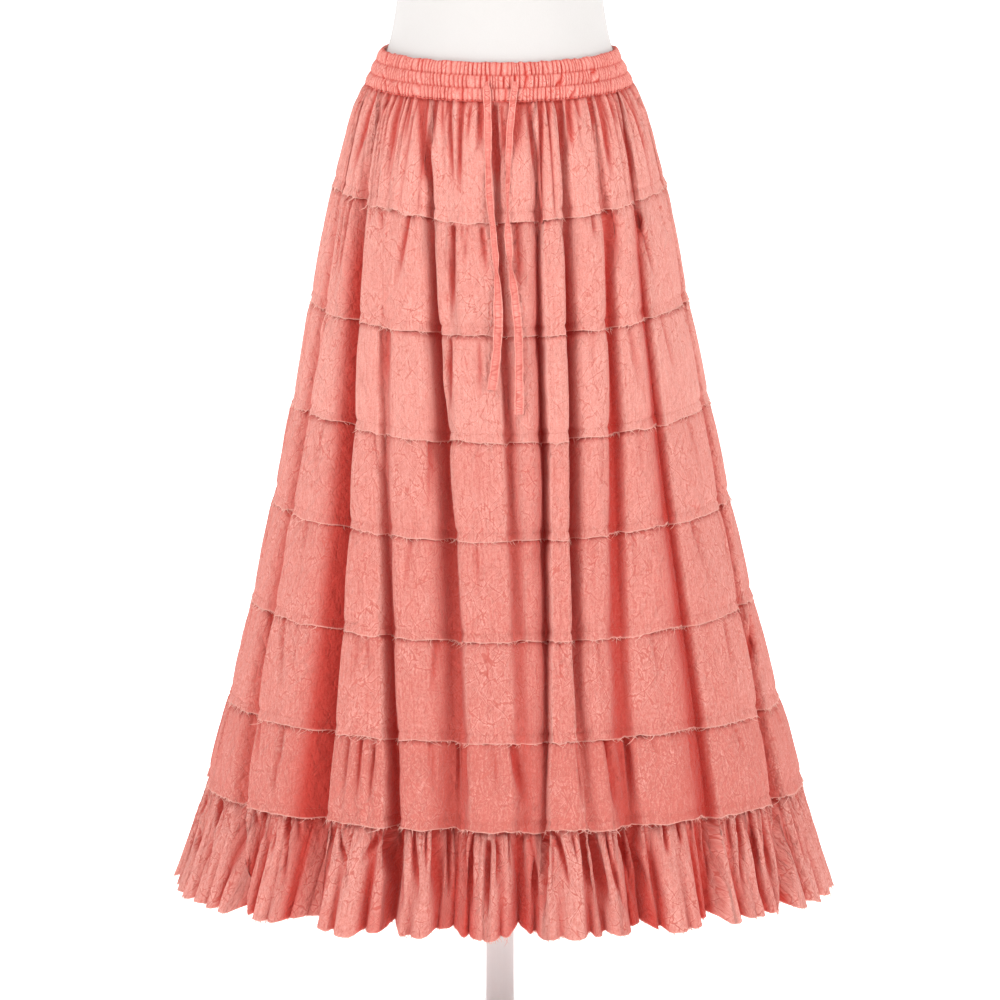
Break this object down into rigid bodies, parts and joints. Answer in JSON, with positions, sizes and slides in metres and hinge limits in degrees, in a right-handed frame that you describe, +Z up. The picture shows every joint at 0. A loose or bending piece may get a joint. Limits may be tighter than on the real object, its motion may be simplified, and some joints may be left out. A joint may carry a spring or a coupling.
{
  "type": "tiered ruffle skirt on a dress form",
  "caption": "Long gathered skirt in tiers with raw laps, a hem ruffle, a shirred waistband and hanging tie ends, on a limbless dress form with pole and foot.",
  "frame": {"origin": "centre of the foot's flat underside, on the floor under the pole", "axes": "+Z up along the pole, -Y towards the front of the skirt, +X to the right as seen from the front"},
  "size_m": [0.6966, 0.5477, 1.5823],
  "materials": {
    "cloth": "matte crinkled cotton voile",
    "tie": "matte stitched cotton tape",
    "form": "matte white jersey",
    "cap": "satin",
    "stand": "satin pale grey paint"
  },
  "bodies": {
    "root": {"waistband": "cloth", "tier_1": "cloth", "tier_2": "cloth", "tier_3": "cloth", "tier_4": "cloth", "tier_5": "cloth", "tier_6": "cloth", "tier_7": "cloth", "ruffle": "cloth", "tie_left": "tie", "tie_right": "tie", "form_torso": "form", "form_neck_cap": "cap", "form_pole": "stand", "form_base": "stand"}
  },
  "joints": []
}
